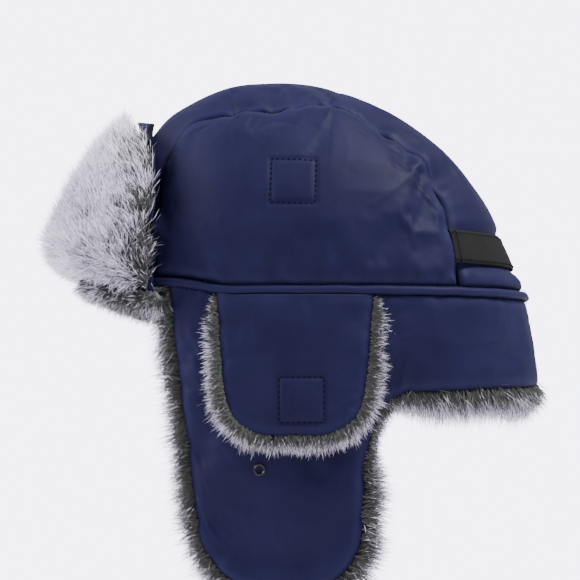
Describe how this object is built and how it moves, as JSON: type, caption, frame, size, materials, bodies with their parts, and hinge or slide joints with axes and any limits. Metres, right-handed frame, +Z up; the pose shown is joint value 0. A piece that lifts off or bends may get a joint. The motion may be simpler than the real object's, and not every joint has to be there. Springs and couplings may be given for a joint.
{
  "type": "trapper hat",
  "caption": "Padded navy trapper hat lined with frosted fur: folding fur brim, folding ear flaps with magnetic ear hatches, goggle strap loop, snap studs and a buckled chin strap.",
  "frame": {"origin": "centre of the head opening, level with the seam under the head band", "axes": "+Z up, the hat faces -Y, +X towards the wearer's left"},
  "size_m": [0.2118, 0.2951, 0.3803],
  "materials": {
    "shell_nylon": "matte plain-weave nylon",
    "frosted_fur": "frosted faux fur, dark roots and pale tips",
    "wadding": "polyester wadding",
    "elastic_twill": "woven elastic",
    "webbing": "woven polypropylene webbing",
    "port_mesh": "knitted mesh",
    "stud_metal": "black enamelled brass, glossy",
    "washer_metal": "plain steel",
    "magnet": "nickel plate",
    "buckle_plastic": "satin acetal"
  },
  "bodies": {
    "root": {"crown_side_left": "shell_nylon", "crown_side_right": "shell_nylon", "crown_top_panel": "shell_nylon", "crown_wadding": "wadding", "crown_lining": "frosted_fur", "head_band": "shell_nylon", "goggle_elastic": "elastic_twill", "crown_magnet_left": "magnet", "crown_magnet_right": "magnet", "nape_shell": "shell_nylon", "nape_wadding": "wadding", "nape_lining": "frosted_fur"},
    "brim": {"brim_backing": "shell_nylon", "brim_wadding": "wadding", "brim_fur": "frosted_fur"},
    "ear_flap_left": {"ear_flap_shell_left": "shell_nylon", "ear_flap_wadding_left": "wadding", "ear_flap_lining_left": "frosted_fur", "ear_port_mesh_left": "port_mesh", "ear_port_binding_left": "shell_nylon", "mask_stud_left": "stud_metal", "stud_washer_left": "washer_metal"},
    "ear_flap_right": {"ear_flap_shell_right": "shell_nylon", "ear_flap_wadding_right": "wadding", "ear_flap_lining_right": "frosted_fur", "ear_port_mesh_right": "port_mesh", "ear_port_binding_right": "shell_nylon", "mask_stud_right": "stud_metal", "stud_washer_right": "washer_metal"},
    "ear_hatch_left": {"hatch_shell_left": "shell_nylon", "hatch_lining_left": "frosted_fur", "hatch_magnet_left": "magnet"},
    "ear_hatch_right": {"hatch_shell_right": "shell_nylon", "hatch_lining_right": "frosted_fur", "hatch_magnet_right": "magnet"},
    "chin_strap_left": {"chin_webbing_left": "webbing", "buckle_socket": "buckle_plastic"},
    "chin_strap_right": {"chin_webbing_right": "webbing", "buckle_plug": "buckle_plastic"},
    "strap_slider": {"strap_slider": "buckle_plastic"}
  },
  "joints": [
    {"name": "brim_fold", "type": "hinge", "parent": "root", "child": "brim", "pos_m": [0, -0.131, 0.005], "axis": [1, 0, 0], "range_deg": [0, 150]},
    {"name": "ear_flap_left_fold", "type": "hinge", "parent": "root", "child": "ear_flap_left", "pos_m": [0.1022, 0, 0], "axis": [0, 1, 0], "range_deg": [-160, 0]},
    {"name": "ear_flap_right_fold", "type": "hinge", "parent": "root", "child": "ear_flap_right", "pos_m": [-0.1022, 0, 0], "axis": [0, -1, 0], "range_deg": [-160, 0]},
    {"name": "ear_hatch_left_fold", "type": "hinge", "parent": "ear_flap_left", "child": "ear_hatch_left", "pos_m": [0.1022, 0, 0], "axis": [0, -1, 0], "range_deg": [0, 179]},
    {"name": "ear_hatch_right_fold", "type": "hinge", "parent": "ear_flap_right", "child": "ear_hatch_right", "pos_m": [-0.1022, 0, 0], "axis": [0, 1, 0], "range_deg": [0, 179]},
    {"name": "chin_strap_left_swing", "type": "hinge", "parent": "ear_flap_left", "child": "chin_strap_left", "pos_m": [0.0837, 0, -0.1735], "axis": [0, 1, 0], "range_deg": [0, 50]},
    {"name": "chin_strap_right_swing", "type": "hinge", "parent": "ear_flap_right", "child": "chin_strap_right", "pos_m": [-0.0837, 0, -0.1735], "axis": [0, -1, 0], "range_deg": [0, 50]},
    {"name": "strap_slider_slide", "type": "slide", "parent": "chin_strap_left", "child": "strap_slider", "axis": [0, 0, -1], "range_m": [0, 0.018]}
  ]
}
